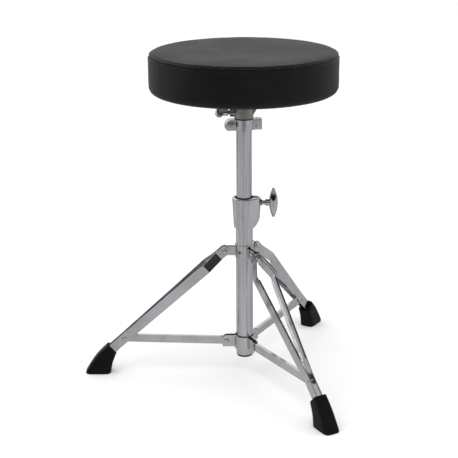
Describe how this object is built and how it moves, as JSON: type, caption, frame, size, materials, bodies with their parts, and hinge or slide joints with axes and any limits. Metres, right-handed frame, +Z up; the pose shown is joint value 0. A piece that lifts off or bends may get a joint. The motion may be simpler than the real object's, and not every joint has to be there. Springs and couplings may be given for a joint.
{
  "type": "drum throne",
  "caption": "Round padded drummer's seat on a telescopic chromed post with a height clamp, memory lock and folding double-strip tripod.",
  "frame": {"origin": "on the column axis at floor level", "axes": "+Z up along the column; +X towards the height bolt; the left leg lies along -X and the other two at 60 degrees either side of +X"},
  "size_m": [0.4265, 0.4864, 0.556],
  "materials": {
    "black_vinyl": "soft grained vinyl",
    "foam": "open-cell foam",
    "plywood": "raw plywood",
    "dust_cloth": "non-woven cloth",
    "zinc_steel": "bright zinc plate",
    "chrome": "polished chrome plate",
    "cast_zinc": "satin plated casting",
    "nickel_rivet": "warm nickel plate",
    "nylon": "black nylon",
    "brass": "plain brass",
    "black_rubber": "matt black rubber"
  },
  "bodies": {
    "column": {"outer_tube": "chrome", "tube_end_cap": "black_rubber", "height_clamp": "chrome", "clamp_bushing": "nylon", "clamp_thread_insert": "brass", "upper_hub_plate_left": "chrome", "upper_hub_plate_front": "chrome", "upper_hub_plate_rear": "chrome", "hub_fixing_rivets": "nickel_rivet", "leg_pivot_rivets": "nickel_rivet"},
    "clamp_shoe": {"clamp_pad": "zinc_steel"},
    "height_bolt": {"height_bolt_screw": "chrome", "height_bolt_handle": "chrome"},
    "post": {"inner_tube": "chrome"},
    "memory_lock": {"memory_lock_front": "chrome", "memory_lock_rear": "chrome", "memory_lock_hinge_pin": "zinc_steel", "memory_lock_key_bolt": "chrome", "memory_lock_nut": "zinc_steel"},
    "seat": {"seat_top_panel": "black_vinyl", "seat_side_band": "black_vinyl", "seat_foam": "foam", "seat_base_board": "plywood", "seat_dust_cover": "dust_cloth", "seat_staples": "zinc_steel", "seat_t_nuts": "zinc_steel", "receiver_screws": "zinc_steel", "seat_receiver": "cast_zinc"},
    "seat_lock_bolt": {"seat_lock_screw": "chrome", "seat_lock_handle": "chrome"},
    "lower_hub": {"slider_bushing": "nylon", "lower_hub_plate_left": "chrome", "lower_hub_plate_front": "chrome", "lower_hub_plate_rear": "chrome", "brace_pivot_rivets": "nickel_rivet"},
    "left_leg": {"left_leg_strip_1": "chrome", "left_leg_strip_2": "chrome", "left_knee_rivets": "nickel_rivet", "left_foot": "black_rubber"},
    "left_brace": {"left_brace": "chrome", "left_knee_bush": "zinc_steel"},
    "front_leg": {"front_leg_strip_1": "chrome", "front_leg_strip_2": "chrome", "front_knee_rivets": "nickel_rivet", "front_foot": "black_rubber"},
    "front_brace": {"front_brace": "chrome", "front_knee_bush": "zinc_steel"},
    "rear_leg": {"rear_leg_strip_1": "chrome", "rear_leg_strip_2": "chrome", "rear_knee_rivets": "nickel_rivet", "rear_foot": "black_rubber"},
    "rear_brace": {"rear_brace": "chrome", "rear_knee_bush": "zinc_steel"}
  },
  "joints": [
    {"name": "post_height", "type": "slide", "parent": "column", "child": "post", "axis": [0, 0, 1], "range_m": [-0.085, 0.08]},
    {"name": "memory_lock_slide", "type": "slide", "parent": "post", "child": "memory_lock", "axis": [0, 0, 1], "range_m": [-0.028, 0]},
    {"name": "seat_spin", "type": "hinge", "parent": "post", "child": "seat", "pos_m": [0, 0, 0.47], "axis": [0, 0, 1], "continuous": true},
    {"name": "seat_lock_turn", "type": "hinge", "parent": "seat", "child": "seat_lock_bolt", "pos_m": [-0.0396, 0, 0.456], "axis": [-1, 0, 0], "range_deg": [0, 720]},
    {"name": "clamp_shoe_slide", "type": "slide", "parent": "column", "child": "clamp_shoe", "axis": [1, 0, 0], "range_m": [0, 0.0025]},
    {"name": "height_bolt_turn", "type": "hinge", "parent": "clamp_shoe", "child": "height_bolt", "pos_m": [0.0484, 0, 0.3042], "axis": [1, 0, 0], "range_deg": [0, 721]},
    {"name": "left_leg_fold", "type": "hinge", "parent": "column", "child": "left_leg", "pos_m": [-0.0335, 0, 0.2206], "axis": [0, -1, 0], "range_deg": [0, 45]},
    {"name": "front_leg_fold", "type": "hinge", "parent": "column", "child": "front_leg", "pos_m": [0.01675, -0.02901, 0.2206], "axis": [0.866, 0.5, 0], "range_deg": [0, 45]},
    {"name": "rear_leg_fold", "type": "hinge", "parent": "column", "child": "rear_leg", "pos_m": [0.01675, 0.02901, 0.2206], "axis": [-0.866, 0.5, 0], "range_deg": [0, 45]},
    {"name": "lower_hub_slide", "type": "slide", "parent": "column", "child": "lower_hub", "axis": [0, 0, 1], "range_m": [0, 0.10363]},
    {"name": "left_brace_fold", "type": "hinge", "parent": "lower_hub", "child": "left_brace", "pos_m": [-0.031, 0, 0.0584], "axis": [0, -1, 0], "range_deg": [0, 87.28]},
    {"name": "front_brace_fold", "type": "hinge", "parent": "lower_hub", "child": "front_brace", "pos_m": [0.0155, -0.02685, 0.0584], "axis": [0.866, 0.5, 0], "range_deg": [0, 87.28]},
    {"name": "rear_brace_fold", "type": "hinge", "parent": "lower_hub", "child": "rear_brace", "pos_m": [0.0155, 0.02685, 0.0584], "axis": [-0.866, 0.5, 0], "range_deg": [0, 87.28]}
  ],
  "couplings": [
    {"joint": "height_bolt_turn", "follows": "clamp_shoe_slide", "rad_per_m": 5026.5},
    {"joint": "front_leg_fold", "follows": "left_leg_fold", "ratio": 1},
    {"joint": "rear_leg_fold", "follows": "left_leg_fold", "ratio": 1},
    {"joint": "lower_hub_slide", "follows": "left_leg_fold", "m_per_rad": 0.13195},
    {"joint": "left_brace_fold", "follows": "left_leg_fold", "ratio": 1.9394},
    {"joint": "front_brace_fold", "follows": "left_leg_fold", "ratio": 1.9394},
    {"joint": "rear_brace_fold", "follows": "left_leg_fold", "ratio": 1.9394}
  ]
}
